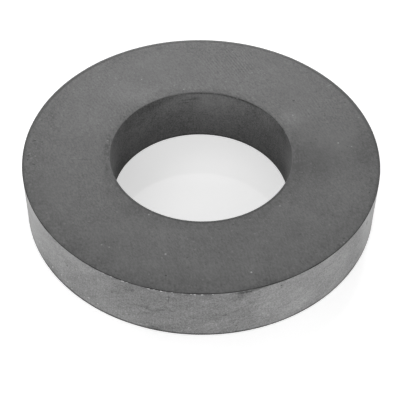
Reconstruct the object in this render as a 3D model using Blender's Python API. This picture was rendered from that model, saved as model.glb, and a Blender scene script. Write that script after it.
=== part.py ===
"""A sintered ferrite ring magnet.

The ring is pressed from ferrite powder, fired hard, and ground flat on its two pole faces. Its outer
wall and its bore keep the skin that the die and the kiln gave them. Ferrite is brittle, so the sharp
rim has small shell-shaped chips.

Units are metres and +Z is up. The ring lies on its lower pole face at z = 0, with its axis on Z.
"""

import math

import bmesh
import bpy
from mathutils import Matrix, Vector

# Sizes of the ring
OUTER_DIAMETER = 0.127
BORE_DIAMETER = 0.0648
THICKNESS = 0.0218

# The tumbled edges: radius left on the sharp corners of the outer wall and of the bore
OUTER_EDGE_RADIUS = 0.0002
BORE_EDGE_RADIUS = 0.0002

# How finely the round forms are faceted
RING_SEGMENTS = 180
EDGE_SEGMENTS = 3
SCOOP_SUBDIVISION_COUNT = 2

# Chips out of the outer wall, just below its upper edge: where each is round the ring in degrees
# from +X towards +Y, how long it is along the edge, how far it spreads down the wall, and how deep
# it is
EDGE_CHIPS = [
    (-116.6, 0.0009, 0.0004, 0.00016),
    (-112.8, 0.0013, 0.0005, 0.00020),
    (-111.4, 0.0008, 0.0003, 0.00014),
    (-104.8, 0.0009, 0.0005, 0.00018),
    (-103.1, 0.0009, 0.0003, 0.00012),
    (-101.0, 0.0010, 0.0005, 0.00020),
    (-97.8, 0.0008, 0.0003, 0.00012),
    (-91.2, 0.0008, 0.0004, 0.00014),
    (-89.1, 0.0010, 0.0006, 0.00022),
    (34.3, 0.0026, 0.0010, 0.00050),
]

# A chip is a shallow scoop, cut by an ellipsoid whose centre stands outside the wall. Half of the
# ellipsoid is this many times the chip's depth, and the scoop nips this far into the rounded corner
SCOOP_HALF_PER_DEPTH = 2.0
SCOOP_OVERLAP = 0.00005

FERRITE_GREY = (0.155, 0.155, 0.158, 1.0)
FERRITE_ROUGHNESS = 0.5


def clear_scene():
    for old in list(bpy.data.objects):
        bpy.data.objects.remove(old, do_unlink=True)


def ferrite_material():
    """Fired ferrite: a dense, dark grey ceramic with a dull sheen."""
    material = bpy.data.materials.new("sintered_ferrite")
    material.use_nodes = True
    shader = material.node_tree.nodes["Principled BSDF"]
    shader.inputs["Base Color"].default_value = FERRITE_GREY
    shader.inputs["Roughness"].default_value = FERRITE_ROUGHNESS
    shader.inputs["Metallic"].default_value = 0.0
    material.diffuse_color = FERRITE_GREY
    return material


def rounded_corner(radius_out, height, edge_radius, facing_out, facing_up):
    """Points (r, z) of one rounded corner of the ring's section, from its wall to its pole face.

    facing_out is +1 at the outer wall and -1 at the bore, and facing_up is +1 at the upper face.
    """
    centre_r = radius_out - facing_out * edge_radius
    centre_z = height - facing_up * edge_radius
    points = []
    for step in range(EDGE_SEGMENTS + 1):
        turn = step / EDGE_SEGMENTS * math.pi / 2
        points.append(
            (
                centre_r + facing_out * edge_radius * math.cos(turn),
                centre_z + facing_up * edge_radius * math.sin(turn),
            )
        )
    return points


def ring_section():
    """The section of the ring in the X-Z plane, once round, starting at the outer wall's foot."""
    outer_radius = OUTER_DIAMETER / 2
    bore_radius = BORE_DIAMETER / 2
    outer_foot = rounded_corner(outer_radius, 0.0, OUTER_EDGE_RADIUS, 1, -1)
    outer_top = rounded_corner(outer_radius, THICKNESS, OUTER_EDGE_RADIUS, 1, 1)
    bore_top = rounded_corner(bore_radius, THICKNESS, BORE_EDGE_RADIUS, -1, 1)
    bore_foot = rounded_corner(bore_radius, 0.0, BORE_EDGE_RADIUS, -1, -1)
    return outer_foot[::-1] + outer_top + bore_top[::-1] + bore_foot


def turned_ring():
    """The ring as a mesh: its section spun once round the Z axis."""
    turned = bmesh.new()
    corners = [turned.verts.new((r, 0.0, z)) for r, z in ring_section()]
    edges = [
        turned.edges.new((corner, after))
        for corner, after in zip(corners, corners[1:] + corners[:1])
    ]
    bmesh.ops.spin(
        turned,
        geom=corners + edges,
        cent=(0.0, 0.0, 0.0),
        axis=(0.0, 0.0, 1.0),
        angle=math.tau,
        steps=RING_SEGMENTS,
        use_merge=True,
    )
    bmesh.ops.recalc_face_normals(turned, faces=turned.faces)
    mesh = bpy.data.meshes.new("ring_magnet")
    turned.to_mesh(mesh)
    turned.free()
    return mesh


def chip_cutter(angle_deg, length, width, depth):
    """An ellipsoid that scoops one chip out of the wall beside the upper outer edge."""
    half_depth = SCOOP_HALF_PER_DEPTH * depth
    outward = half_depth - depth
    # At the wall the ellipsoid is cut off its widest part, so it is made larger than the chip.
    share_at_wall = math.sqrt(1 - (outward / half_depth) ** 2)
    half_length = length / 2 / share_at_wall
    half_width = width / 2 / share_at_wall
    below_top = OUTER_EDGE_RADIUS + width / 2 - SCOOP_OVERLAP
    place = Matrix.Rotation(math.radians(angle_deg), 4, "Z") @ Matrix.Translation(
        Vector((OUTER_DIAMETER / 2 + outward, 0.0, THICKNESS - below_top))
    )
    stretch = Matrix.Diagonal((half_depth, half_length, half_width, 1.0))
    scoop = bmesh.new()
    bmesh.ops.create_icosphere(
        scoop, subdivisions=SCOOP_SUBDIVISION_COUNT, radius=1.0, matrix=place @ stretch
    )
    mesh = bpy.data.meshes.new("edge_chip")
    scoop.to_mesh(mesh)
    scoop.free()
    cutter = bpy.data.objects.new("edge_chip", mesh)
    cutter.hide_render = True
    cutter.display_type = "WIRE"
    return cutter


def build_ring_magnet():
    mesh = turned_ring()
    mesh.materials.append(ferrite_material())
    mesh.shade_smooth()
    ring = bpy.data.objects.new("ring_magnet", mesh)
    bpy.context.scene.collection.objects.link(ring)

    cutters = bpy.data.collections.new("edge_chip_cutters")
    bpy.context.scene.collection.children.link(cutters)
    for angle_deg, length, width, depth in EDGE_CHIPS:
        cutters.objects.link(chip_cutter(angle_deg, length, width, depth))
    cutters.hide_render = True

    chips = ring.modifiers.new("edge chips", "BOOLEAN")
    chips.operation = "DIFFERENCE"
    chips.operand_type = "COLLECTION"
    chips.collection = cutters
    chips.solver = "EXACT"

    # The flats shade flat and only the narrow rounded edges carry the turn of the light.
    ring.modifiers.new("face weighted normals", "WEIGHTED_NORMAL")
    return ring


clear_scene()
build_ring_magnet()
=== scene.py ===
"""Looks of a sintered ferrite ring magnet: its ground pole faces, fired walls and chipped rim.

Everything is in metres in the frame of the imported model: +Z up, the ring's axis on Z, and its lower
pole face on the floor at z = 0. Angles round the ring are in degrees from +X towards +Y.
"""

import math
import random

import bmesh
import bpy
import numpy as np
from mathutils import Matrix, Vector, noise


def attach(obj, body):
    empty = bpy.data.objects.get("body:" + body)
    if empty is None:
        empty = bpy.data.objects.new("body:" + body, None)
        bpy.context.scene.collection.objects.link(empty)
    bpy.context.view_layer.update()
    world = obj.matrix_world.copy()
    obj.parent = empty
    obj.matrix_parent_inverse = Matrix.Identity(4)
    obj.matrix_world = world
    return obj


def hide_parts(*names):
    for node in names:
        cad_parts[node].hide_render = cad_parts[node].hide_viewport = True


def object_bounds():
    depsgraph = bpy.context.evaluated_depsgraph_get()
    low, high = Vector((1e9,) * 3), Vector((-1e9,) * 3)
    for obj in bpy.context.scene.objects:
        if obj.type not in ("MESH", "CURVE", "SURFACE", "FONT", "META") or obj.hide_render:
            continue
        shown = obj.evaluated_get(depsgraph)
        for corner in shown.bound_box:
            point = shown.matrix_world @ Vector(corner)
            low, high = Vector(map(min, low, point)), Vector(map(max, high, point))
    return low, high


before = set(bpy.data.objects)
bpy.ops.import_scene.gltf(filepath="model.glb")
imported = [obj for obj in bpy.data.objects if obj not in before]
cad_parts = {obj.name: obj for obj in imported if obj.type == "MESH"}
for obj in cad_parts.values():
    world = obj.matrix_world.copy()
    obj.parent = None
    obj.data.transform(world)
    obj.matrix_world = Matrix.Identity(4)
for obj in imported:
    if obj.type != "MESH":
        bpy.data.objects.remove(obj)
cad_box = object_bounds()

# Camera
# It looks down on the ring from the front through a long lens, as if from a tripod beside the table.
CAMERA_DISTANCE = 0.4179
CAMERA_ELEVATION = math.radians(46.90)
CAMERA_ROLL = math.radians(0.87)
CAMERA_AIM = Vector((-0.00021, -0.00247, 0.0))
LENS_MM = 101.58

lens = bpy.data.cameras.new("product_camera")
lens.lens = LENS_MM
lens.sensor_width = 36.0
lens.clip_start = 0.01
lens.clip_end = 20.0
camera = bpy.data.objects.new("product_camera", lens)
camera.location = (
    0.0,
    -CAMERA_DISTANCE * math.cos(CAMERA_ELEVATION),
    CAMERA_DISTANCE * math.sin(CAMERA_ELEVATION),
)
view_line = CAMERA_AIM - camera.location
camera.rotation_mode = "QUATERNION"
camera.rotation_quaternion = (
    view_line.to_track_quat("-Z", "Y") @ Matrix.Rotation(CAMERA_ROLL, 3, "Z").to_quaternion()
)
bpy.context.scene.collection.objects.link(camera)
bpy.context.scene.camera = camera
bpy.context.scene.view_settings.view_transform = "Standard"


def linear(hex_colour):
    """An sRGB hex colour as linear RGBA."""
    channels = [int(hex_colour[i : i + 2], 16) / 255 for i in (1, 3, 5)]
    return [c / 12.92 if c <= 0.04045 else ((c + 0.055) / 1.055) ** 2.4 for c in channels] + [1.0]


def add_node(tree, kind, inputs=None, **settings):
    """Adds a node with its settings. An input is a value, or the output socket that feeds it."""
    node = tree.nodes.new(kind)
    for name, value in settings.items():
        setattr(node, name, value)
    for socket, value in (inputs or {}).items():
        if isinstance(value, bpy.types.NodeSocket):
            tree.links.new(value, node.inputs[socket])
        else:
            node.inputs[socket].default_value = value
    return node


def maths(tree, operation, *values):
    """The result of a Math node."""
    return add_node(tree, "ShaderNodeMath", dict(enumerate(values)), operation=operation).outputs[0]


def vector_maths(tree, operation, *values):
    """The result of a Vector Math node: a vector, or a number for a length."""
    node = add_node(tree, "ShaderNodeVectorMath", dict(enumerate(values)), operation=operation)
    return node.outputs["Value" if operation == "LENGTH" else "Vector"]


# The sockets of a Mix node that mixes colours: its two colours, and its result
MIX_A, MIX_B, MIXED = 6, 7, 2


def colour_mix(tree, share, start, end):
    """The colour at this share of the way from the start to the end."""
    mix = add_node(tree, "ShaderNodeMix", {0: share, MIX_A: start, MIX_B: end}, data_type="RGBA")
    return mix.outputs[MIXED]


def ramp(tree, value, start, end, least=0.0, most=1.0, smooth=False):
    """Goes from least to most as the value goes from start to end, and holds outside them."""
    inputs = {"Value": value, "From Min": start, "From Max": end, "To Min": least, "To Max": most}
    kind = "SMOOTHSTEP" if smooth else "LINEAR"
    return add_node(tree, "ShaderNodeMapRange", inputs, interpolation_type=kind).outputs[0]


def noise_pattern(tree, place, size, detail=2.0):
    """A noise of 0 to 1 with blobs of about this size, and finer ones on them by its detail."""
    inputs = {"Vector": place, "Scale": 1 / size, "Detail": detail}
    return add_node(tree, "ShaderNodeTexNoise", inputs).outputs[0]


def seen_mask(tree):
    """1 for rays from the camera, a gloss or a glass, which show the surroundings as white."""
    path = add_node(tree, "ShaderNodeLightPath").outputs
    mask = path["Is Camera Ray"]
    for other in ("Is Glossy Ray", "Is Transmission Ray"):
        mask = maths(tree, "MAXIMUM", mask, path[other])
    return mask


# Table top
# A sheet of white cast acrylic, polished, under the ring. It shows a faint mirror image of the bore's
# wall, and a tight contact shadow round the ring is painted into its colour and glow. Part of its
# white is a glow that only the camera and reflections see, so that it doesn't flood the bore with light.
TABLE_HALF_WIDTH = 3.0
TABLE_DROP = 0.00002
ACRYLIC_WHITE = "#FAFAFA"
ACRYLIC_BOUNCE = "#A8A8A8"
ACRYLIC_SHADED = "#202020"
ACRYLIC_GLOW = 0.475
ACRYLIC_ROUGHNESS = 0.05
ACRYLIC_IOR = 1.49
CONTACT_SHADOW_REACH = 0.0003
# The shares of open sky at which the contact shadow is full and gone
SKY_IN_SHADOW, SKY_OUT_OF_SHADOW = 0.45, 0.75

table_mesh = bpy.data.meshes.new("table_top")
table_mesh.from_pydata(
    [
        (x * TABLE_HALF_WIDTH, y * TABLE_HALF_WIDTH, -TABLE_DROP)
        for x, y in ((-1, -1), (1, -1), (1, 1), (-1, 1))
    ],
    [],
    [(0, 1, 2, 3)],
)
acrylic = bpy.data.materials.new("polished_white_acrylic")
acrylic.use_nodes = True
tree = acrylic.node_tree
shader = tree.nodes["Principled BSDF"]
shader.inputs["Roughness"].default_value = ACRYLIC_ROUGHNESS
shader.inputs["IOR"].default_value = ACRYLIC_IOR
shader.inputs["Emission Color"].default_value = (1, 1, 1, 1)
seen = seen_mask(tree)
acrylic_colour = colour_mix(tree, seen, linear(ACRYLIC_BOUNCE), linear(ACRYLIC_WHITE))
# Painted shadow: ambient occlusion darkens the colour to the shaded grey and dims the glow close round the
# ring.
open_sky = add_node(tree, "ShaderNodeAmbientOcclusion", {"Distance": CONTACT_SHADOW_REACH}, samples=8)
clear = ramp(tree, open_sky.outputs["AO"], SKY_IN_SHADOW, SKY_OUT_OF_SHADOW)
shaded_colour = colour_mix(tree, clear, linear(ACRYLIC_SHADED), acrylic_colour)
glow = maths(tree, "MULTIPLY", seen, maths(tree, "MULTIPLY", clear, ACRYLIC_GLOW))
tree.links.new(shaded_colour, shader.inputs["Base Color"])
tree.links.new(glow, shader.inputs["Emission Strength"])
table_mesh.materials.append(acrylic)
table_top = bpy.data.objects.new("table_top", table_mesh)
bpy.context.scene.collection.objects.link(table_top)

# Ring
# The ring is pressed from ferrite powder in a steel die, fired, and ground flat on both pole faces
# by a cup wheel. The outer wall and the bore keep the kiln's skin. Ferrite breaks like glass, so
# handling has nicked its edges.
OUTER_RADIUS = cad_box[1].x
THICKNESS = cad_box[1].z
BORE_RADIUS = 0.0324
STEPS_ROUND = 540
WALL_ROWS = 20
FACE_ROWS = 8
EDGE_ROWS = 5
OUTER_EDGE_RADIUS = 0.0002
BORE_EDGE_RADIUS = 0.0001
EDGE_RADIUS_VARIATION = 0.35
# The edge radii are read from a noise along a circle of this radius, each edge at its own height.
EDGE_NOISE_CIRCLE = 9
OUTER_FOOT_NOISE, OUTER_TOP_NOISE, BORE_TOP_NOISE, BORE_FOOT_NOISE = 0.3, 5.3, 9.3, 14.3
# The walls' slow waves: how far they draw a wall in, how long they are, and the shift in the noise
# that gives each wall its own
WALL_WAVE, WALL_WAVE_LENGTH, WALL_WAVE_SHIFT = 0.00006, 0.014, 7
END_ROW_SHARE = 0.03
SHARP_ANGLE = math.radians(40)
GROUND, OUTER_SKIN, BORE_SKIN, EDGE, BREAK, OLD_BREAK, PIT = range(7)


def spaced(start, end, rows):
    """Steps from start to end, with a close row next to each end that keeps the shading flat."""
    shares = [0, END_ROW_SHARE, *np.linspace(0, 1, rows + 1)[1:-1], 1 - END_ROW_SHARE, 1]
    return [start + (end - start) * share for share in shares]


def corner(facing_out, facing_up):
    """Directions (out, up) round a quarter turn, from the wall to the pole face."""
    turns = [step / EDGE_ROWS * math.pi / 2 for step in range(EDGE_ROWS + 1)]
    return [(facing_out * math.cos(t), facing_up * math.sin(t)) for t in turns]


def wall_radius(nominal, angle, height, inward):
    """The wall's radius, drawn in a little from nominal by slow waves, as firing leaves it."""
    place = Vector((math.cos(angle) * nominal, math.sin(angle) * nominal, height)) / WALL_WAVE_LENGTH
    wave = 0.5 + 0.5 * noise.noise(place + Vector((0, 0, inward * WALL_WAVE_SHIFT)))
    return nominal - inward * WALL_WAVE * min(max(wave, 0), 1)


def edge_radius(nominal, angle, noise_height):
    """The radius of a rounded edge, which tumbling has left uneven."""
    place = Vector((math.cos(angle) * EDGE_NOISE_CIRCLE, math.sin(angle) * EDGE_NOISE_CIRCLE, noise_height))
    return nominal * (1 + EDGE_RADIUS_VARIATION * noise.noise(place))


def section_at(angle):
    """The ring's section at one angle: (radius, height) points once round it, with their zones."""
    outer_foot = edge_radius(OUTER_EDGE_RADIUS, angle, OUTER_FOOT_NOISE)
    outer_top = edge_radius(OUTER_EDGE_RADIUS, angle, OUTER_TOP_NOISE)
    bore_top = edge_radius(BORE_EDGE_RADIUS, angle, BORE_TOP_NOISE)
    bore_foot = edge_radius(BORE_EDGE_RADIUS, angle, BORE_FOOT_NOISE)
    points, zones = [], []

    def wall(nominal, inward, low, high, zone, rising):
        heights = spaced(low, high, WALL_ROWS)
        for height in heights if rising else heights[::-1]:
            points.append((wall_radius(nominal, angle, height, inward), height))
            zones.append(zone)

    def rounding(radius, height, size, facing_out, facing_up, rising):
        steps = corner(facing_out, facing_up)
        for out, up in (steps if rising else steps[::-1])[1:-1]:
            points.append((radius + size * (out - facing_out), height + size * (up - facing_up)))
            zones.append(EDGE)

    def face(start, end, height):
        for radius in spaced(start, end, FACE_ROWS):
            points.append((radius, height))
            zones.append(GROUND)

    outer_low = wall_radius(OUTER_RADIUS, angle, outer_foot, 1)
    outer_high = wall_radius(OUTER_RADIUS, angle, THICKNESS - outer_top, 1)
    bore_high = wall_radius(BORE_RADIUS, angle, THICKNESS - bore_top, -1)
    bore_low = wall_radius(BORE_RADIUS, angle, bore_foot, -1)
    wall(OUTER_RADIUS, 1, outer_foot, THICKNESS - outer_top, OUTER_SKIN, rising=True)
    rounding(outer_high, THICKNESS, outer_top, 1, 1, rising=True)
    face(outer_high - outer_top, bore_high + bore_top, THICKNESS)
    rounding(bore_high, THICKNESS, bore_top, -1, 1, rising=False)
    wall(BORE_RADIUS, -1, bore_foot, THICKNESS - bore_top, BORE_SKIN, rising=False)
    rounding(bore_low, 0.0, bore_foot, -1, -1, rising=True)
    face(bore_low + bore_foot, outer_low - outer_foot, 0.0)
    rounding(outer_low, 0.0, outer_foot, 1, -1, rising=False)
    return points, zones


def ring_mesh():
    """The undamaged ring: its sections side by side round the axis, joined by four-sided faces."""
    angles = [math.tau * step / STEPS_ROUND for step in range(STEPS_ROUND)]
    sections = [section_at(angle) for angle in angles]
    zones = sections[0][1]
    around = len(zones)
    vertices = [
        (radius * math.cos(angle), radius * math.sin(angle), height)
        for angle, (points, _) in zip(angles, sections)
        for radius, height in points
    ]
    faces, face_zones = [], []
    for step in range(STEPS_ROUND):
        after = (step + 1) % STEPS_ROUND
        for row in range(around):
            next_row = (row + 1) % around
            faces.append(
                (
                    step * around + row,
                    after * around + row,
                    after * around + next_row,
                    step * around + next_row,
                )
            )
            same_zone = zones[row] == zones[next_row]
            face_zones.append(zones[row] if same_zone else EDGE)
    mesh = bpy.data.meshes.new("sintered_ring")
    mesh.from_pydata(vertices, [], faces)
    mesh.polygons.foreach_set("material_index", face_zones)
    mesh.shade_smooth()
    mesh.update()
    return mesh


# Nicks in the edges: the place round the ring, the length along the edge, the width down the wall
# and the depth. They lie on the wall, right beside the rounded corner.
UPPER_OUTER_NICKS = [
    (-125.0, 0.0006, 0.0003, 0.00010),
    (-119.3, 0.0007, 0.0003, 0.00012),
    (-116.6, 0.0009, 0.0004, 0.00016),
    (-112.8, 0.0013, 0.0005, 0.00020),
    (-111.4, 0.0008, 0.0003, 0.00014),
    (-104.8, 0.0009, 0.0005, 0.00018),
    (-103.1, 0.0009, 0.0003, 0.00012),
    (-101.0, 0.0010, 0.0005, 0.00020),
    (-97.8, 0.0008, 0.0003, 0.00012),
    (-92.3, 0.0006, 0.0003, 0.00010),
    (-91.2, 0.0008, 0.0004, 0.00014),
    (-89.1, 0.0010, 0.0006, 0.00022),
    (-86.0, 0.0006, 0.0003, 0.00010),
    (34.3, 0.0026, 0.0010, 0.00050),
]
# Small nicks: how many each edge has, the least and greatest of their sizes, the least angle between
# two of them, and how far a nick reaches into the rounded corner
SMALL_NICKS = {"upper_outer": 26, "lower_outer": 18, "upper_bore": 14, "lower_bore": 8}
SMALL_NICK_LENGTH = (0.0004, 0.0010)
SMALL_NICK_WIDTH = (0.0002, 0.0004)
SMALL_NICK_DEPTH = (0.00006, 0.00012)
NICK_SPACING_DEG = 1.6
NICK_OVERLAP = 0.00005
# A scoop is a knobbly ellipsoid that stands out of the surface. Half of it is this many times the
# depth, so the surface cuts it where it has this share of its full length and width.
SCOOP_HALF_PER_DEPTH = 2
SCOOP_SHARE_AT_SURFACE = math.sqrt(1 - (1 - 1 / SCOOP_HALF_PER_DEPTH) ** 2)
SCOOP_SUBDIVISIONS = 2
SCOOP_LUMPS, LUMPS_PER_RADIUS, LUMP_SHIFT = 0.16, 1.7, 3.1

# Pits in the flat of a surface: where each is, the length and width of its scoop, the turn of that
# length from level in degrees, and its depth. Wall places are (angle, height), face places (x, y).
WALL_PITS = [
    ((-65.2, 0.0196), 0.0009, 0.0006, 10, 0.00016),
    ((-79.7, 0.0055), 0.0007, 0.0005, 60, 0.00014),
    ((-78.8, 0.0036), 0.0008, 0.0005, 20, 0.00014),
    ((-78.2, 0.0054), 0.0005, 0.0004, 0, 0.00010),
    ((-134.2, 0.0131), 0.0009, 0.0006, 0, 0.00014),
    ((-26.0, 0.0172), 0.0022, 0.0006, 50, 0.00016),
    ((48.0, 0.0090), 0.0010, 0.0007, 20, 0.00016),
    ((131.0, 0.0152), 0.0008, 0.0006, 60, 0.00014),
    ((170.0, 0.0063), 0.0012, 0.0006, 80, 0.00016),
]
FACE_PITS = [
    ((-0.0108, -0.0561), 0.0007, 0.0006, 0, 0.00014),
    ((-0.0601, 0.0050), 0.0019, 0.0005, 15, 0.00012),
    ((-0.0612, -0.0025), 0.0010, 0.0005, 60, 0.00010),
    ((-0.0614, -0.0047), 0.0008, 0.0005, 80, 0.00010),
    ((-0.0590, -0.0068), 0.0017, 0.0005, -15, 0.00010),
    ((0.0341, 0.0286), 0.0013, 0.0006, 20, 0.00010),
    ((0.0533, 0.0282), 0.0009, 0.0005, 30, 0.00010),
    ((0.0582, -0.0179), 0.0008, 0.0005, 70, 0.00010),
]
# Pale knocks in the outer wall, given as the pits are
WALL_KNOCKS = [
    ((-153.3, 0.0199), 0.0012, 0.0005, 10, 0.00016),
    ((-151.5, 0.0203), 0.0009, 0.0004, 60, 0.00014),
    ((-153.0, 0.0104), 0.0016, 0.0008, 80, 0.00018),
    ((-151.0, 0.0079), 0.0013, 0.0006, 70, 0.00018),
    ((-148.9, 0.0071), 0.0009, 0.0006, 20, 0.00014),
    ((-147.8, 0.0051), 0.0007, 0.0006, 0, 0.00012),
    ((-142.9, 0.0035), 0.0014, 0.0007, 50, 0.00018),
    ((-137.8, 0.0046), 0.0007, 0.0005, 0, 0.00012),
    ((-134.9, 0.0037), 0.0011, 0.0005, 30, 0.00016),
    ((-133.2, 0.0016), 0.0008, 0.0005, 0, 0.00014),
    ((-125.8, 0.0035), 0.0012, 0.0005, 20, 0.00016),
    ((-122.4, 0.0030), 0.0008, 0.0004, 0, 0.00012),
    ((-112.1, 0.0046), 0.0007, 0.0004, 40, 0.00010),
    ((-107.6, 0.0015), 0.0007, 0.0004, 0, 0.00010),
    ((-92.9, 0.0036), 0.0008, 0.0004, 20, 0.00012),
    ((-81.4, 0.0019), 0.0006, 0.0004, 0, 0.00010),
    ((-58.0, 0.0029), 0.0007, 0.0004, 60, 0.00010),
    ((-22.3, 0.0200), 0.0012, 0.0006, 80, 0.00016),
]
# Scratches: the places that each one joins, its width and depth, and how its floor looks
WALL_SCRATCHES = [
    ([(-98.9, 0.0152), (-98.8, 0.0180), (-98.7, 0.0205)], 0.00016, 0.00003, PIT),
    ([(-84.3, 0.0096), (-82.9, 0.0105), (-81.4, 0.0111), (-79.3, 0.0112)], 0.00030, 0.00003, OLD_BREAK),
    ([(60.0, 0.0070), (63.0, 0.0082), (66.0, 0.0088)], 0.00024, 0.00003, OLD_BREAK),
]
FACE_SCRATCHES = [
    # The pale floor of the first of these is partly painted highlight, for the glint of light along that
    # scratch.
    ([(0.0466, 0.0366), (0.0480, 0.0376), (0.0493, 0.0385)], 0.00026, 0.00004, OLD_BREAK),
    ([(-0.0466, -0.0036), (-0.0453, -0.0037), (-0.0440, -0.0038)], 0.00018, 0.00003, OLD_BREAK),
]
SCRATCH_SIDES = 6
SCRATCH_STEPS = 4
NICK_SEED = 31
nick_places = random.Random(NICK_SEED)


def edge_corner(edge):
    """Radius and height of one of the ring's four sharp corners, and which way it faces."""
    upper, outer = edge.startswith("upper"), edge.endswith("outer")
    return (
        OUTER_RADIUS if outer else BORE_RADIUS,
        THICKNESS if upper else 0.0,
        1 if outer else -1,
        1 if upper else -1,
    )


def add_scoop(cutter, place, half_sizes, seed, zone):
    """Adds a scoop to the cutter."""
    made = bmesh.ops.create_icosphere(cutter, subdivisions=SCOOP_SUBDIVISIONS, radius=1.0)["verts"]
    for vertex in made:
        lump = noise.noise(vertex.co * LUMPS_PER_RADIUS + Vector((seed * LUMP_SHIFT, 0, 0)))
        vertex.co *= 1 + SCOOP_LUMPS * lump
    bmesh.ops.transform(cutter, verts=made, matrix=place @ Matrix.Diagonal((*half_sizes, 1.0)))
    for face in {face for vertex in made for face in vertex.link_faces}:
        face.material_index = zone


def add_edge_nick(cutter, edge, angle_deg, length, width, depth, seed, zone):
    """Scoops a nick into the wall, just past the corner's rounding."""
    radius, height, facing_out, facing_up = edge_corner(edge)
    rounding = OUTER_EDGE_RADIUS if facing_out > 0 else BORE_EDGE_RADIUS
    drop = rounding + width / 2 - NICK_OVERLAP
    place = Matrix.Rotation(math.radians(angle_deg), 4, "Z") @ Matrix.Translation(
        (radius + facing_out * (depth - WALL_WAVE / 2), 0.0, height - facing_up * drop)
    )
    half_sizes = (
        SCOOP_HALF_PER_DEPTH * depth,
        length / 2 / SCOOP_SHARE_AT_SURFACE,
        width / 2 / SCOOP_SHARE_AT_SURFACE,
    )
    add_scoop(cutter, place, half_sizes, seed, zone)


def wall_frame(angle_deg, height):
    """A frame on the outer wall: X runs level round it, Y runs up and Z points out of it."""
    return (
        Matrix.Rotation(math.radians(angle_deg), 4, "Z")
        @ Matrix.Translation((OUTER_RADIUS - WALL_WAVE / 2, 0.0, height))
        @ Matrix.Rotation(math.pi / 2, 4, "Z")
        @ Matrix.Rotation(math.pi / 2, 4, "X")
    )


def face_frame(x, y):
    """The same on the upper pole face, where X and Y are the ring's own and Z points up."""
    return Matrix.Translation((x, y, THICKNESS))


def add_pit(cutter, frame_there, length, width, turn_deg, depth, seed, zone):
    """Scoops a shallow pit or knock into the flat of a surface."""
    place = (
        frame_there
        @ Matrix.Rotation(math.radians(turn_deg), 4, "Z")
        @ Matrix.Translation((0.0, 0.0, depth))
    )
    add_scoop(cutter, place, (length / 2, width / 2, SCOOP_HALF_PER_DEPTH * depth), seed, zone)


def add_scratch(cutter, frames, width, depth, zone):
    """A thin lens-shaped thread along the surface, pointed at both ends."""
    places = [place.to_translation() for place in frames]
    stretches = len(frames) - 1
    rings = []
    for step in range(1, SCRATCH_STEPS * stretches):
        share = step / (SCRATCH_STEPS * stretches)
        along = share * stretches
        first = min(int(along), stretches - 1)
        middle = places[first].lerp(places[first + 1], along - first)
        out = frames[first].to_3x3().col[2].lerp(frames[first + 1].to_3x3().col[2], along - first)
        # Between two places the chord runs inside the curved wall, so the thread is lifted onto it.
        if out.xy.length > abs(out.z):
            lift = (OUTER_RADIUS - WALL_WAVE / 2) / middle.xy.length
            middle = Vector((middle.x * lift, middle.y * lift, middle.z))
        ahead = (places[first + 1] - places[first]).normalized()
        aside = ahead.cross(out).normalized()
        swell = math.sqrt(math.sin(math.pi * share))
        rings.append(
            [
                cutter.verts.new(
                    middle
                    + aside * (width / 2 * swell * math.cos(math.tau * k / SCRATCH_SIDES))
                    + out * (depth * swell * math.sin(math.tau * k / SCRATCH_SIDES))
                )
                for k in range(SCRATCH_SIDES)
            ]
        )
    tips = [cutter.verts.new(places[0]), cutter.verts.new(places[-1])]
    made = []
    for before, after in zip(rings, rings[1:]):
        for k in range(SCRATCH_SIDES):
            n = (k + 1) % SCRATCH_SIDES
            made.append(cutter.faces.new((before[k], before[n], after[n], after[k])))
    for k in range(SCRATCH_SIDES):
        n = (k + 1) % SCRATCH_SIDES
        made.append(cutter.faces.new((tips[0], rings[0][n], rings[0][k])))
        made.append(cutter.faces.new((tips[1], rings[-1][k], rings[-1][n])))
    bmesh.ops.recalc_face_normals(cutter, faces=made)
    for face in made:
        face.material_index = zone


def nicks_mesh():
    """All the nicks, pits, knocks and scratches, as one mesh to cut away."""
    cutter = bmesh.new()
    seed = 0
    taken = {edge: [] for edge in SMALL_NICKS}
    for angle_deg, length, width, depth in UPPER_OUTER_NICKS:
        add_edge_nick(cutter, "upper_outer", angle_deg, length, width, depth, seed, BREAK)
        taken["upper_outer"].append(angle_deg)
        seed += 1
    for edge, count in SMALL_NICKS.items():
        while count:
            angle_deg = nick_places.uniform(-180, 180)
            length = nick_places.uniform(*SMALL_NICK_LENGTH)
            width = nick_places.uniform(*SMALL_NICK_WIDTH)
            depth = nick_places.uniform(*SMALL_NICK_DEPTH)
            gaps = [abs((angle_deg - other + 180) % 360 - 180) for other in taken[edge]]
            if gaps and min(gaps) < NICK_SPACING_DEG:
                continue
            add_edge_nick(cutter, edge, angle_deg, length, width, depth, seed, OLD_BREAK)
            taken[edge].append(angle_deg)
            seed += 1
            count -= 1
    for hollows, frame_of, zone in (
        (WALL_PITS, wall_frame, PIT),
        (FACE_PITS, face_frame, PIT),
        (WALL_KNOCKS, wall_frame, BREAK),
    ):
        for where, length, width, turn_deg, depth in hollows:
            add_pit(cutter, frame_of(*where), length, width, turn_deg, depth, seed, zone)
            seed += 1
    for scratches, frame_of in ((WALL_SCRATCHES, wall_frame), (FACE_SCRATCHES, face_frame)):
        for places, width, depth, zone in scratches:
            add_scratch(cutter, [frame_of(*where) for where in places], width, depth, zone)
    for face in cutter.faces:
        face.smooth = True
    mesh = bpy.data.meshes.new("nick_cutter")
    cutter.to_mesh(mesh)
    cutter.free()
    return mesh


# How the skins are coloured: each is a mix of a dark and a light grey. A pattern of 0 to 1 moves the
# mix to both sides of the middle, by its weight as a share of the way between them.
def mixed_grey(tree, dark, light, patterns, areas=()):
    """The mix of two greys that the centred patterns and the signed areas add up to."""
    share = 0.5
    for pattern, weight in patterns:
        centred = maths(tree, "SUBTRACT", pattern, 0.5)
        share = maths(tree, "MULTIPLY_ADD", centred, weight, share)
    for area in areas:
        share = maths(tree, "ADD", area, share)
    return colour_mix(tree, share, linear(dark), linear(light))


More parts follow.
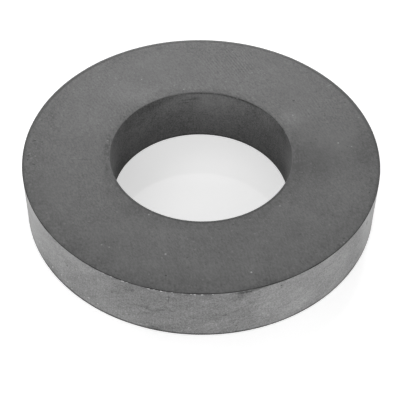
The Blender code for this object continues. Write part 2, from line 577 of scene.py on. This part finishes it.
def soft_areas(tree, place, areas):
    """Soft-edged patches: each has its middle and its reach along X, Y and Z, and what it adds there."""
    total = 0.0
    for middle, reach, share in areas:
        offset = vector_maths(tree, "SUBTRACT", place, middle)
        away = vector_maths(tree, "LENGTH", vector_maths(tree, "DIVIDE", offset, reach))
        patch = ramp(tree, away, 0.0, 1.0, share, 0.0, smooth=True)
        total = maths(tree, "ADD", patch, total)
    return total


# A reach that takes in every height of the ring
ANY_HEIGHT = 1.0


def face_areas(tree, place, areas):
    """Soft areas on the pole faces, each given by its x and y and its reach along them."""
    return soft_areas(
        tree, place, [((*middle, THICKNESS), (*reach, ANY_HEIGHT), share) for middle, reach, share in areas]
    )


def on_wall(angle_deg, height, radius):
    """The place on a wall of the given radius."""
    angle = math.radians(angle_deg)
    return (radius * math.cos(angle), radius * math.sin(angle), height)


def wall_areas(tree, place, radius, areas):
    """Soft areas on a wall, each given by its angle in degrees and its height, and its reach."""
    return soft_areas(
        tree, place, [(on_wall(*middle, radius), reach, share) for middle, reach, share in areas]
    )


def coarse_grains(tree, place, spacing, reach):
    """Small dots strewn through the body, 1 at their middles: they show where the surface cuts them."""
    cells = add_node(tree, "ShaderNodeTexVoronoi", {"Vector": place, "Scale": 1 / spacing})
    return ramp(tree, cells.outputs["Distance"], 0.0, reach / spacing, 1.0, 0.0)


def from_axis(tree, place):
    """The distance from the ring's axis."""
    return vector_maths(tree, "LENGTH", vector_maths(tree, "MULTIPLY", place, (1, 1, 0)))


def skin(name, roughness, ior):
    """A new material with its shader set, and the place on the ring in metres."""
    material = bpy.data.materials.new(name)
    material.use_nodes = True
    tree = material.node_tree
    shader = tree.nodes["Principled BSDF"]
    shader.inputs["Roughness"].default_value = roughness
    shader.inputs["IOR"].default_value = ior
    place = add_node(tree, "ShaderNodeTexCoord").outputs["Object"]
    return material, tree, shader, place


def relief(tree, shader, patterns):
    """Bumps from patterns of 0 to 1, each with its height in metres."""
    normal = None
    for pattern, height in patterns:
        bump = add_node(tree, "ShaderNodeBump", {"Height": pattern, "Distance": height})
        if normal:
            tree.links.new(normal, bump.inputs["Normal"])
        normal = bump.outputs[0]
    tree.links.new(normal, shader.inputs["Normal"])


# Ground ferrite: the pole faces, dark grey and satin. The wheel leaves faint arcs about 1 mm apart,
# which show only here and there, over the cloudy tone of pressed powder. Handling has darkened and
# speckled the face towards both rims. The grain is drawn at 0.5 mm, since its few micrometres
# would be too fine to show.
GROUND_DARK, GROUND_LIGHT, SPECK_GREY = "#323232", "#707070", "#B4B4B4"
CLOUD_SIZE, BLOTCH_SIZE, GRAIN_SIZE, SPECKLE_SIZE = 0.011, 0.0035, 0.00045, 0.0013
SPECKLE_GAIN = 5.0
GRAIN_RELIEF, STREAK_RELIEF = 0.00001, 0.000006
GRINDING_TURN = math.radians(120)
GRAIN_STRETCH = (0.55, 1.0, 1.0)
WHEEL_CENTRE = (-0.235, -0.0855, THICKNESS)
WHEEL_MARK_SPACING = 0.0011
WHEEL_MARK_LENGTH = 0.018
STREAKS_PER_MARK, STREAK_SHARE = 1.6, 0.20
WHEEL_MARK_AREAS = [
    # the middle and the reach in metres, and how strongly the marks show
    ((0.011, 0.049), (0.020, 0.014), 0.17),
    ((0.046, 0.024), (0.018, 0.020), 0.07),
    ((-0.033, 0.024), (0.020, 0.016), 0.08),
    ((0.020, -0.052), (0.022, 0.014), 0.03),
]
RIM_BANDS = [
    # two radii, from where the band starts to where it is full, and its share
    (0.0540, 0.0605, -0.11),
    (0.0385, 0.0328, -0.15),
]
RIM_GRIME_AND_SHADE = "#0C0C0C"
RIM_LINES = [
    # dark lines right at the rims, partly grime and partly painted shade where the rounded rim faces
    # away to the rear: the two radii again, and how much of the dark shows at two places along Y
    (0.0617, 0.0624, (0.000, 0.08), (0.038, 0.97)),
    (0.0624, 0.0629, (0.005, 0.75), (-0.032, 0.12)),
    (0.0336, 0.0330, (-0.010, 0.00), (-0.016, 0.85)),
]
FACE_AREAS = [
    # the middle and the reach in metres, and the share of the way to the light grey
    # The broad sectors right of the bore, dark beside it and pale above it, and the pale ones at the upper
    # left, are painted sheen: the ground face reflects the light in sectors along the wheel's marks.
    ((-0.005, 0.059), (0.030, 0.010), -0.13),
    ((0.010, 0.051), (0.026, 0.012), -0.15),
    ((0.060, 0.004), (0.012, 0.013), -0.26),
    ((0.035, -0.003), (0.016, 0.023), -0.35),
    ((0.048, -0.003), (0.016, 0.014), -0.17),
    ((0.0315, 0.0190), (0.0075, 0.0075), 0.34),
    ((-0.029, 0.031), (0.016, 0.010), 0.24),
    ((-0.036, 0.012), (0.012, 0.012), 0.08),
    ((0.038, 0.038), (0.012, 0.012), -0.07),
    ((-0.045, 0.022), (0.012, 0.022), 0.12),
    ((-0.041, -0.016), (0.010, 0.020), 0.06),
    ((-0.011, -0.039), (0.013, 0.008), 0.12),
    ((0.000, 0.053), (0.020, 0.008), -0.08),
    ((-0.020, 0.031), (0.014, 0.010), 0.18),
    ((-0.036, 0.021), (0.010, 0.010), 0.05),
    ((0.052, -0.019), (0.013, 0.010), 0.06),
    ((-0.036, -0.045), (0.022, 0.009), -0.08),
    ((-0.0243, 0.0324), (0.0036, 0.0048), -0.14),
    ((-0.0495, 0.0000), (0.0060, 0.0100), 0.10),
    ((0.0331, 0.0442), (0.0060, 0.0060), -0.10),
    ((0.0575, -0.0165), (0.0070, 0.0080), 0.08),
    ((-0.0335, -0.0475), (0.0055, 0.0040), 0.12),
    ((-0.0541, 0.0179), (0.0018, 0.0032), -0.14),
    ((-0.0407, -0.0040), (0.0042, 0.0004), -0.38),
    # dark stretches of the rim
    ((-0.0425, -0.0455), (0.007, 0.004), -0.05),
    ((-0.0345, -0.0515), (0.007, 0.004), -0.07),
    ((-0.0260, -0.0565), (0.007, 0.003), -0.15),
    ((-0.0160, -0.0605), (0.007, 0.002), -0.05),
    ((0.0160, -0.0605), (0.008, 0.002), -0.16),
    ((0.0235, -0.0580), (0.006, 0.003), -0.20),
    # smudges where the bore's rim has been rubbed
    ((-0.0338, 0.0010), (0.0016, 0.0070), -0.34),
    ((-0.0330, -0.0080), (0.0018, 0.0060), -0.25),
    ((-0.0240, -0.0270), (0.0060, 0.0040), -0.12),
    # the bore's rim paler on the right: painted highlight, where its rounded edge catches the light
    ((0.0328, 0.0000), (0.0013, 0.0080), 0.22),
    ((0.0314, 0.0100), (0.0020, 0.0060), 0.22),
    ((0.0314, -0.0100), (0.0020, 0.0060), 0.12),
]
TICK_SIZE, TICK_STRETCH = 0.0006, (1.0, 0.35, 1.0)
TICK_AREAS = [
    # the middle and the reach in metres, and how strong the ticks are
    ((-0.0334, 0.0020), (0.0024, 0.0120), 2.2),
    ((-0.0280, 0.0190), (0.0060, 0.0060), 1.4),
    ((0.0345, 0.0000), (0.0030, 0.0140), 1.2),
]
FACE_SPECKS = [
    # bright grains: x, y, radius and how much of the speck's grey shows
    (-0.0231, 0.0392, 0.0004, 0.75),
    (0.0335, 0.0207, 0.0005, 0.60),
    (0.0492, 0.0064, 0.0005, 0.65),
    (0.0539, 0.0047, 0.0005, 0.45),
    (-0.0112, -0.0471, 0.0006, 0.55),
    (-0.0298, -0.0445, 0.0005, 0.35),
    (-0.0324, -0.0435, 0.0005, 0.40),
    (0.0168, -0.0542, 0.0005, 0.80),
    (0.0271, -0.0248, 0.0005, 0.40),
    (0.0477, -0.0408, 0.0005, 0.40),
    (-0.0174, -0.0298, 0.0005, 0.55),
    (-0.0609, -0.0014, 0.0005, 0.30),
    (-0.0602, -0.0038, 0.0005, 0.22),
    (-0.0593, 0.0160, 0.0009, 0.10),
    (-0.0580, 0.0139, 0.0011, 0.12),
    (-0.0337, 0.0057, 0.0005, 0.45),
    (-0.0070, 0.0340, 0.0005, 0.45),
    (0.0265, 0.0559, 0.0005, 0.35),
]
GRAIN_AREAS = [
    # where the fine grain is quieter or stronger: the middle and the reach in metres, and by how much
    ((0.044, 0.005), (0.026, 0.022), -0.60),
    ((-0.016, 0.050), (0.026, 0.014), -0.55),
    ((-0.026, 0.040), (0.014, 0.012), -0.30),
    ((0.028, 0.050), (0.016, 0.013), -0.50),
    ((0.035, 0.035), (0.018, 0.016), -0.50),
    ((-0.053, -0.019), (0.010, 0.012), -0.40),
    ((-0.034, -0.024), (0.016, 0.018), 0.24),
    ((-0.006, -0.046), (0.024, 0.014), 0.20),
]
# How strongly the fine grain shows towards the front and the rear: a place along Y, and its gain there
GRAIN_AT_FRONT, GRAIN_AT_REAR = (-0.055, 0.76), (0.055, 1.60)
# Coarse grains, and how far to one side of the pale ones the dark ones are drawn
GRAIN_SPACING, GRAIN_REACH, PALE_GRAIN, DARK_GRAIN = 0.0030, 0.00045, 0.18, -0.40
DARK_GRAIN_SHIFT = (0.1, 0, 0)
ground_ferrite, tree, shader, place = skin("ground_ferrite", roughness=0.45, ior=1.45)
cloud, blotch, speckle = (
    noise_pattern(tree, place, size, detail=3.0) for size in (CLOUD_SIZE, BLOTCH_SIZE, SPECKLE_SIZE)
)
radius = from_axis(tree, place)
bands = [ramp(tree, radius, start, full, 0.0, share, smooth=True) for start, full, share in RIM_BANDS]
along_y = add_node(tree, "ShaderNodeSeparateXYZ", {0: place}).outputs[1]
# Painted shade in part: the rim lines are strongest where the rounded rim faces away to the rear; the rest
# of their dark is grime.
rim_grime_and_shade = 0.0
for start, full, (faint_y, least), (strong_y, most) in RIM_LINES:
    strength = ramp(tree, along_y, faint_y, strong_y, least, most)
    line = ramp(tree, radius, start, full, 0.0, strength, smooth=True)
    rim_grime_and_shade = maths(tree, "MAXIMUM", line, rim_grime_and_shade)
# The grain is drawn out a little the way the wheel ran.
ground_way = add_node(tree, "ShaderNodeVectorRotate", {"Vector": place, "Angle": -GRINDING_TURN})
drawn_out = vector_maths(tree, "MULTIPLY", ground_way.outputs[0], GRAIN_STRETCH)
grain = noise_pattern(tree, drawn_out, GRAIN_SIZE, detail=3.0)
# The speckle is a noise about its middle, times how far into either broad band the place lies.
near_rims = maths(tree, "ADD", *bands)
speckle = maths(tree, "MULTIPLY", maths(tree, "SUBTRACT", speckle, 0.5), SPECKLE_GAIN)
rim_speckle = maths(tree, "MULTIPLY", speckle, near_rims)
# Short ticks beside the bore, where things have been dragged over its rim.
across_ticks = vector_maths(tree, "MULTIPLY", place, TICK_STRETCH)
ticks = maths(tree, "SUBTRACT", noise_pattern(tree, across_ticks, TICK_SIZE), 0.5)
ticks = maths(tree, "MULTIPLY", ticks, face_areas(tree, place, TICK_AREAS))
# The wheel's arcs: each place has its distance across them, in spacings, and its way along them.
from_wheel = vector_maths(tree, "SUBTRACT", place, WHEEL_CENTRE)
wheel_radius = vector_maths(tree, "LENGTH", from_wheel)
wheel_xyz = add_node(tree, "ShaderNodeSeparateXYZ", {0: from_wheel}).outputs
wheel_turn = maths(tree, "ARCTAN2", wheel_xyz[1], wheel_xyz[0])
across = maths(tree, "MULTIPLY", wheel_radius, 1 / WHEEL_MARK_SPACING)
along = maths(tree, "MULTIPLY", wheel_turn, Vector(WHEEL_CENTRE).length / WHEEL_MARK_LENGTH)
wheel_place = add_node(tree, "ShaderNodeCombineXYZ", {0: across, 1: along}).outputs[0]
wheel_streaks = noise_pattern(tree, wheel_place, 1 / STREAKS_PER_MARK)
# Grain and streaks show more towards the rear, and less in the quiet areas.
drawn = maths(tree, "MULTIPLY_ADD", wheel_streaks, STREAK_SHARE, grain)
drawn = maths(tree, "SUBTRACT", drawn, (1 + STREAK_SHARE) / 2)
towards_rear = ramp(
    tree, along_y, GRAIN_AT_FRONT[0], GRAIN_AT_REAR[0], GRAIN_AT_FRONT[1], GRAIN_AT_REAR[1]
)
grain_shows = maths(tree, "ADD", towards_rear, face_areas(tree, place, GRAIN_AREAS))
fine_grain = maths(tree, "MULTIPLY", drawn, grain_shows)
wheel_wave = maths(tree, "SINE", maths(tree, "MULTIPLY", across, math.tau))
wheel_lines = maths(tree, "MULTIPLY", wheel_wave, face_areas(tree, place, WHEEL_MARK_AREAS))
# Coarse grains: dark ones in the grey itself, and pale ones over it, with the bright specks.
elsewhere = vector_maths(tree, "ADD", place, DARK_GRAIN_SHIFT)
dark_grains = coarse_grains(tree, elsewhere, GRAIN_SPACING, GRAIN_REACH)
dark_grains = maths(tree, "MULTIPLY", dark_grains, DARK_GRAIN)
grey = mixed_grey(
    tree,
    GROUND_DARK,
    GROUND_LIGHT,
    [(cloud, 0.4), (blotch, 0.24)],
    [*bands, fine_grain, rim_speckle, ticks, dark_grains, wheel_lines, face_areas(tree, place, FACE_AREAS)],
)
specks = soft_areas(
    tree, place, [((x, y, THICKNESS), (r, r, r), share) for x, y, r, share in FACE_SPECKS]
)
grains = coarse_grains(tree, place, GRAIN_SPACING, GRAIN_REACH)
pale = maths(tree, "MULTIPLY", grain_shows, PALE_GRAIN)
shown = maths(tree, "MULTIPLY_ADD", grains, pale, specks)
speckled = colour_mix(tree, shown, grey, linear(SPECK_GREY))
rimmed = colour_mix(tree, rim_grime_and_shade, speckled, linear(RIM_GRIME_AND_SHADE))
tree.links.new(rimmed, shader.inputs["Base Color"])
relief(tree, shader, [(grain, GRAIN_RELIEF), (wheel_streaks, STREAK_RELIEF)])

# Fired skin: the outer wall as it came from the kiln, paler than the ground faces and matt. It is
# cloudy and granular, with faint streaks up the wall from the die, level rubs and soft slanting
# scuffs. A darker foot is painted shade where the wall meets the table, and paler ends are painted
# light where the wall turns aside. Its grain, too, is drawn at 0.5 mm so that it shows.
OUTER_DARK, OUTER_LIGHT, WALL_SPECK_GREY = "#3A3A3A", "#AAAAAA", "#C8C8C8"
OUTER_CLOUD_SIZE, OUTER_BLOTCH_SIZE, OUTER_GRAIN_SIZE = 0.008, 0.0028, 0.0005
OUTER_GRAIN_RELIEF, OUTER_BLOTCH_RELIEF = 0.00003, 0.00004
STREAK_STRETCH = (1.0, 1.0, 0.14)
DIE_STREAK_SIZE = 0.0008
SCUFF_SIZE = 0.0022
SCUFF_TWIST = -26.0
RUB_STRETCH = (0.2, 0.2, 1.0)
RUB_SIZE = 0.0010
WALL_GRAIN = 0.40
FOOT_HEIGHT, FOOT_SHADE = 0.0010, -0.66
WALL_AREAS = [
    # from the left end over the front to the right: the angle and height of the middle, the reach in
    # metres, and the share of the way to the light grey
    # The wide pale areas near both ends, about -158 and -22 degrees, are painted light, for the wall
    # catches more light where it turns aside.
    ((-158, 0.015), (0.022, 0.026, 0.030), 0.36),
    ((-157, 0.021), (0.013, 0.013, 0.006), 0.58),
    ((-146, 0.011), (0.006, 0.006, 0.004), -0.06),
    ((-145, 0.002), (0.009, 0.009, 0.006), -0.22),
    ((-141, 0.016), (0.016, 0.014, 0.014), 0.14),
    ((-135, 0.0065), (0.007, 0.007, 0.004), 0.06),
    ((-130, 0.020), (0.012, 0.012, 0.006), 0.20),
    ((-119, 0.005), (0.007, 0.007, 0.005), 0.12),
    ((-118, 0.0164), (0.0036, 0.004, 0.0030), 0.20),
    ((-115, 0.013), (0.008, 0.008, 0.010), -0.13),
    ((-111, 0.0216), (0.012, 0.008, 0.0022), -0.14),
    ((-110.4, 0.0185), (0.0040, 0.004, 0.0036), -0.20),
    ((-104, 0.016), (0.020, 0.016, 0.012), -0.09),
    ((-101, 0.002), (0.010, 0.010, 0.004), -0.08),
    ((-98, 0.0216), (0.014, 0.008, 0.0022), -0.10),
    ((-97.3, 0.0200), (0.0045, 0.004, 0.0020), 0.12),
    ((-92, 0.0205), (0.014, 0.014, 0.003), -0.10),
    ((-92, 0.0108), (0.0050, 0.004, 0.0020), 0.15),
    ((-90, 0.010), (0.024, 0.020, 0.016), -0.09),
    ((-85.5, 0.0052), (0.0040, 0.004, 0.0030), 0.15),
    ((-85, 0.0195), (0.006, 0.006, 0.003), -0.07),
    ((-82, 0.0098), (0.0036, 0.004, 0.0024), -0.14),
    ((-79, 0.0180), (0.0044, 0.004, 0.0024), -0.22),
    ((-77, 0.0209), (0.006, 0.005, 0.0010), -0.43),
    ((-77, 0.0200), (0.0032, 0.004, 0.0026), -0.30),
    ((-73, 0.0212), (0.005, 0.005, 0.0008), -0.29),
    ((-69, 0.012), (0.007, 0.012, 0.018), 0.13),
    ((-62, 0.002), (0.010, 0.008, 0.005), 0.10),
    ((-60, 0.010), (0.011, 0.012, 0.018), 0.17),
    ((-58, 0.021), (0.018, 0.016, 0.005), 0.10),
    ((-55, 0.005), (0.008, 0.012, 0.006), 0.16),
    ((-54, 0.012), (0.008, 0.008, 0.008), 0.05),
    ((-50, 0.020), (0.010, 0.010, 0.005), 0.05),
    ((-44, 0.015), (0.014, 0.014, 0.016), 0.20),
    ((-43, 0.002), (0.014, 0.014, 0.006), 0.12),
    ((-36, 0.010), (0.010, 0.012, 0.016), 0.03),
    ((-29, 0.0047), (0.0040, 0.005, 0.0030), -0.14),
    ((-25, 0.021), (0.010, 0.014, 0.006), 0.30),
    ((-23, 0.002), (0.008, 0.012, 0.007), 0.16),
    ((-22, 0.014), (0.012, 0.018, 0.018), 0.41),
    # the foot's painted shade, darker at the sides and fainter right of the front
    ((-140, 0.0004), (0.022, 0.020, 0.0011), -0.45),
    ((-103, 0.0014), (0.0042, 0.004, 0.0026), -0.24),
    ((-81, 0.0020), (0.0040, 0.004, 0.0020), -0.15),
    ((-68, 0.0004), (0.010, 0.008, 0.0010), 0.15),
    ((-61, 0.0024), (0.0045, 0.004, 0.0022), -0.16),
    ((-34, 0.0004), (0.010, 0.014, 0.0010), -0.38),
    # soft dark rubs: a hollow curve left of the front, and a short one right of it
    ((-107.5, 0.0111), (0.0040, 0.004, 0.0008), -0.14),
    ((-104.2, 0.0105), (0.0032, 0.004, 0.0010), -0.22),
    ((-101.6, 0.0115), (0.0024, 0.004, 0.0011), -0.22),
    ((-99.9, 0.0136), (0.0014, 0.004, 0.0014), -0.13),
    ((-91.0, 0.0100), (0.0024, 0.004, 0.0009), -0.13),
    ((-82.8, 0.0102), (0.0024, 0.004, 0.0007), -0.18),
    ((-79.6, 0.0112), (0.0024, 0.004, 0.0006), -0.17),
]
fired_outer_skin, tree, shader, place = skin("fired_outer_skin", roughness=0.6, ior=1.5)
cloud, blotch, grain = (
    noise_pattern(tree, place, size, detail=4.0)
    for size in (OUTER_CLOUD_SIZE, OUTER_BLOTCH_SIZE, OUTER_GRAIN_SIZE)
)
height = add_node(tree, "ShaderNodeSeparateXYZ", {0: place}).outputs[2]
# Painted shade: the wall darkens over its lowest millimetre, where it meets the table.
foot = ramp(tree, height, FOOT_HEIGHT, 0.0, 0.0, FOOT_SHADE, smooth=True)
# The scuffs lean because their place is turned about the axis as it rises.
lean = maths(tree, "MULTIPLY", height, SCUFF_TWIST)
twisted = add_node(tree, "ShaderNodeVectorRotate", {"Vector": place, "Angle": lean})
streaks, scuffs = (
    noise_pattern(tree, vector_maths(tree, "MULTIPLY", where, STREAK_STRETCH), size)
    for where, size in ((place, DIE_STREAK_SIZE), (twisted.outputs[0], SCUFF_SIZE))
)
level = vector_maths(tree, "MULTIPLY", place, RUB_STRETCH)
rubs = noise_pattern(tree, level, RUB_SIZE, detail=3.0)
grey = mixed_grey(
    tree,
    OUTER_DARK,
    OUTER_LIGHT,
    [(cloud, 0.29), (blotch, 0.15), (grain, 1.08), (streaks, 0.17), (scuffs, 0.24), (rubs, 0.27)],
    [foot, wall_areas(tree, place, OUTER_RADIUS, WALL_AREAS)],
)
grains = coarse_grains(tree, place, GRAIN_SPACING, GRAIN_REACH)
shown = maths(tree, "MULTIPLY", grains, WALL_GRAIN)
speckled = colour_mix(tree, shown, grey, linear(WALL_SPECK_GREY))
tree.links.new(speckled, shader.inputs["Base Color"])
relief(tree, shader, [(grain, OUTER_GRAIN_RELIEF), (blotch, OUTER_BLOTCH_RELIEF)])

# Fired skin of the bore: darker than the outer wall, as painted shade, for the bore keeps much of
# the light off its wall. Its grain is drawn at 0.6 mm so that it shows.
BORE_DARK, BORE_LIGHT = "#2A2A2A", "#767676"
BORE_CLOUD_SIZE, BORE_BLOTCH_SIZE, BORE_GRAIN_SIZE = 0.007, 0.0025, 0.0006
BORE_GRAIN_RELIEF, BORE_BLOTCH_RELIEF = 0.00003, 0.00003
BORE_FOOT_HEIGHT, BORE_FOOT_SHADE = 0.0012, -0.36
BORE_AREAS = [
    # from the right over the rear to the left, given as on the outer wall
    # Painted shade: the dark areas under the rim and low at the sides stand for the shade in the bore.
    ((-13, 0.0214), (0.006, 0.005, 0.004), 0.10),
    ((5, 0.0214), (0.006, 0.006, 0.004), -0.15),
    ((20, 0.002), (0.008, 0.010, 0.009), -0.30),
    ((24, 0.021), (0.010, 0.012, 0.008), -0.27),
    ((37, 0.010), (0.008, 0.008, 0.010), -0.12),
    ((50, 0.0205), (0.008, 0.008, 0.004), 0.09),
    ((52, 0.002), (0.010, 0.008, 0.004), 0.10),
    ((62, 0.0216), (0.016, 0.012, 0.0012), -0.48),
    ((75, 0.010), (0.020, 0.014, 0.014), 0.17),
    ((88, 0.020), (0.022, 0.014, 0.012), 0.29),
    ((90, 0.0216), (0.014, 0.008, 0.0011), -0.62),
    ((94.3, 0.0190), (0.0026, 0.0030, 0.0013), -0.42),
    ((99, 0.0171), (0.0050, 0.0040, 0.0004), -0.32),
    ((100, 0.0184), (0.0050, 0.0040, 0.0004), -0.42),
    ((110, 0.0208), (0.007, 0.006, 0.003), -0.12),
    ((127, 0.0205), (0.013, 0.010, 0.005), -0.27),
    ((130, 0.015), (0.006, 0.006, 0.004), -0.12),
    ((146, 0.020), (0.016, 0.016, 0.009), -0.27),
    ((151, 0.011), (0.005, 0.006, 0.004), -0.12),
    ((160, 0.002), (0.009, 0.012, 0.009), -0.55),
    ((162, 0.014), (0.006, 0.008, 0.012), -0.11),
    ((172, 0.020), (0.006, 0.008, 0.006), -0.14),
]
shaded_bore_skin, tree, shader, place = skin("shaded_bore_skin", roughness=0.65, ior=1.35)
cloud, blotch, grain = (
    noise_pattern(tree, place, size, detail=4.0)
    for size in (BORE_CLOUD_SIZE, BORE_BLOTCH_SIZE, BORE_GRAIN_SIZE)
)
height = add_node(tree, "ShaderNodeSeparateXYZ", {0: place}).outputs[2]
# Painted shade: the bore's wall darkens towards the table, in the corner where it meets it.
foot = ramp(tree, height, BORE_FOOT_HEIGHT, 0.0, 0.0, BORE_FOOT_SHADE, smooth=True)
grey = mixed_grey(
    tree,
    BORE_DARK,
    BORE_LIGHT,
    [(cloud, 0.4), (blotch, 0.4), (grain, 1.3)],
    [foot, wall_areas(tree, place, BORE_RADIUS, BORE_AREAS)],
)
tree.links.new(grey, shader.inputs["Base Color"])
relief(tree, shader, [(grain, BORE_GRAIN_RELIEF), (blotch, BORE_BLOTCH_RELIEF)])

# Rubbed edge: the ring's corners. The outer ones are dark and dull, which comes and goes along the
# edge: partly with what hands and steel have left on them, partly as painted shade for the dark
# lines along the rims and at the foot. Those of the bore are near the faces' grey, lighter in some
# places and darker in others; the pale one on the right is a painted highlight, where the edge catches the
# light.
EDGE_DARK, EDGE_LIGHT = "#161616", "#787878"
EDGE_STRETCH_SIZE, EDGE_GRAIN_SIZE = 0.009, 0.0012
# Between these radii the tone passes from the bore's edges to the outer ones, which get this share.
MID_FACE_RADII, OUTER_EDGE_SHARE = (0.045, 0.050), -0.31
EDGE_AREAS = [
    # the middle, on an upper rim, the reach in metres, and the share of the way to the light grey
    # Painted highlight: the bore's edge on the right is paler, where it catches the light.
    (on_wall(5, THICKNESS, BORE_RADIUS), (0.016, 0.018, 0.010), 0.45),
    (on_wall(-90, THICKNESS, BORE_RADIUS), (0.034, 0.022, 0.010), -0.40),
    (on_wall(-138, THICKNESS, BORE_RADIUS), (0.014, 0.014, 0.010), -0.35),
    (on_wall(90, THICKNESS, BORE_RADIUS), (0.022, 0.014, 0.010), 0.30),
    (on_wall(-133, THICKNESS, OUTER_RADIUS), (0.014, 0.014, 0.010), 0.15),
]
rubbed_and_shaded_edge, tree, shader, place = skin("rubbed_and_shaded_edge", roughness=0.8, ior=1.1)
stretches, grain = (noise_pattern(tree, place, size) for size in (EDGE_STRETCH_SIZE, EDGE_GRAIN_SIZE))
# The outer edges are darker: partly grime, partly painted shade for the dark lines along the foot and the
# rims.
outer_side = ramp(tree, from_axis(tree, place), *MID_FACE_RADII, 0.0, OUTER_EDGE_SHARE)
grey = mixed_grey(
    tree,
    EDGE_DARK,
    EDGE_LIGHT,
    [(stretches, 0.7), (grain, 0.35)],
    [outer_side, soft_areas(tree, place, EDGE_AREAS)],
)
tree.links.new(grey, shader.inputs["Base Color"])

# Breaks and pits, where the ring's dense and granular inside shows. The grain is drawn at 0.4 mm, as
# its few micrometres would be too fine to show.
BREAK_GRAIN_SIZE, BREAK_GRAIN_SHARE = 0.0004, 1.4
BREAKS = {
    # the roughness, the IOR, the dark and the light grey, and the relief in metres
    # Fresh break: the shell-shaped chips, a paler and rough grey.
    "fresh_break": (0.6, 1.5, "#8C8C8C", "#E0E0E0", 0.00006),
    # Worn break: small old nicks and scratches, whose grey has dulled to near that of the skin.
    "worn_break": (0.6, 1.5, "#585858", "#929292", 0.0),
    # Pit: a void in the pressed powder that the kiln opened. It is dark with what has lodged in it.
    "pit": (0.7, 1.4, "#242424", "#484848", 0.0),
}
break_materials = []
for name, (roughness, ior, dark, light, height) in BREAKS.items():
    material, tree, shader, place = skin(name, roughness, ior)
    grain = noise_pattern(tree, place, BREAK_GRAIN_SIZE)
    grey = mixed_grey(tree, dark, light, [(grain, BREAK_GRAIN_SHARE)])
    tree.links.new(grey, shader.inputs["Base Color"])
    if height:
        relief(tree, shader, [(grain, height)])
    break_materials.append(material)

# The damage is cut out of the ring in one go, and each cut takes its material from its scoop.
blank = bpy.data.objects.new("ring_blank", ring_mesh())
cutter_object = bpy.data.objects.new("nick_cutter", nicks_mesh())
for part in (blank, cutter_object):
    bpy.context.scene.collection.objects.link(part)
for material in (ground_ferrite, fired_outer_skin, shaded_bore_skin, rubbed_and_shaded_edge, *break_materials):
    blank.data.materials.append(material)
    cutter_object.data.materials.append(material)
scooping = blank.modifiers.new("nicks", "BOOLEAN")
scooping.operation = "DIFFERENCE"
scooping.solver = "EXACT"
scooping.object = cutter_object
graph = bpy.context.evaluated_depsgraph_get()
finished_mesh = bpy.data.meshes.new_from_object(blank.evaluated_get(graph))
finished_mesh.name = "sintered_ring"
finished_mesh.set_sharp_from_angle(angle=SHARP_ANGLE)
# A cut's rim is sharp all along, so that its shading doesn't spread over the flat beside it.
finished = bmesh.new()
finished.from_mesh(finished_mesh)
for edge in finished.edges:
    zones_beside = {face.material_index for face in edge.link_faces}
    if len(zones_beside) > 1 and max(zones_beside) >= BREAK:
        edge.smooth = False
finished.to_mesh(finished_mesh)
finished.free()
ring = bpy.data.objects.new("sintered_ring", finished_mesh)
bpy.context.scene.collection.objects.link(ring)
for part in (blank, cutter_object):
    bpy.data.objects.remove(part, do_unlink=True)
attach(ring, "root")
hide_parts("ring_magnet")

# Lamps
# Soft panels of one size stand round the table, as in a small photo tent, all as far from the ring.
PANEL_DISTANCE = 1.0
PANEL_WIDTH, PANEL_HEIGHT = 0.7, 0.5
PANELS = {
    # the azimuth and elevation in degrees that it shines from, and its watts
    "rear_panel": (90, 12, 9.0),
    "rear_left_high_panel": (140, 48, 1.1),
    "left_panel": (180, 12, 2.1),
    "right_panel": (0, 12, 1.8),
    "front_panel": (-90, 18, 5.3),
}
for name, (azimuth, elevation, watts) in PANELS.items():
    panel = bpy.data.lights.new(name, "AREA")
    panel.shape = "RECTANGLE"
    panel.size = PANEL_WIDTH
    panel.size_y = PANEL_HEIGHT
    panel.energy = watts
    lamp = bpy.data.objects.new(name, panel)
    away = Vector((1, 0, 0))
    away.rotate(Matrix.Rotation(math.radians(-elevation), 3, "Y"))
    away.rotate(Matrix.Rotation(math.radians(azimuth), 3, "Z"))
    lamp.location = away * PANEL_DISTANCE
    lamp.rotation_euler = away.to_track_quat("Z", "Y").to_euler()
    lamp.visible_camera = False
    bpy.context.scene.collection.objects.link(lamp)

# The tent's cloth: an even light from all round, which shows as white behind the ring.
TENT_LIGHT = 0.35
world = bpy.data.worlds.new("photo_tent")
bpy.context.scene.world = world
world.use_nodes = True
tree = world.node_tree
tent = ramp(tree, seen_mask(tree), 0.0, 1.0, TENT_LIGHT, 1.0)
tree.links.new(tent, tree.nodes["Background"].inputs["Strength"])
tree.nodes["Background"].inputs["Color"].default_value = (1, 1, 1, 1)
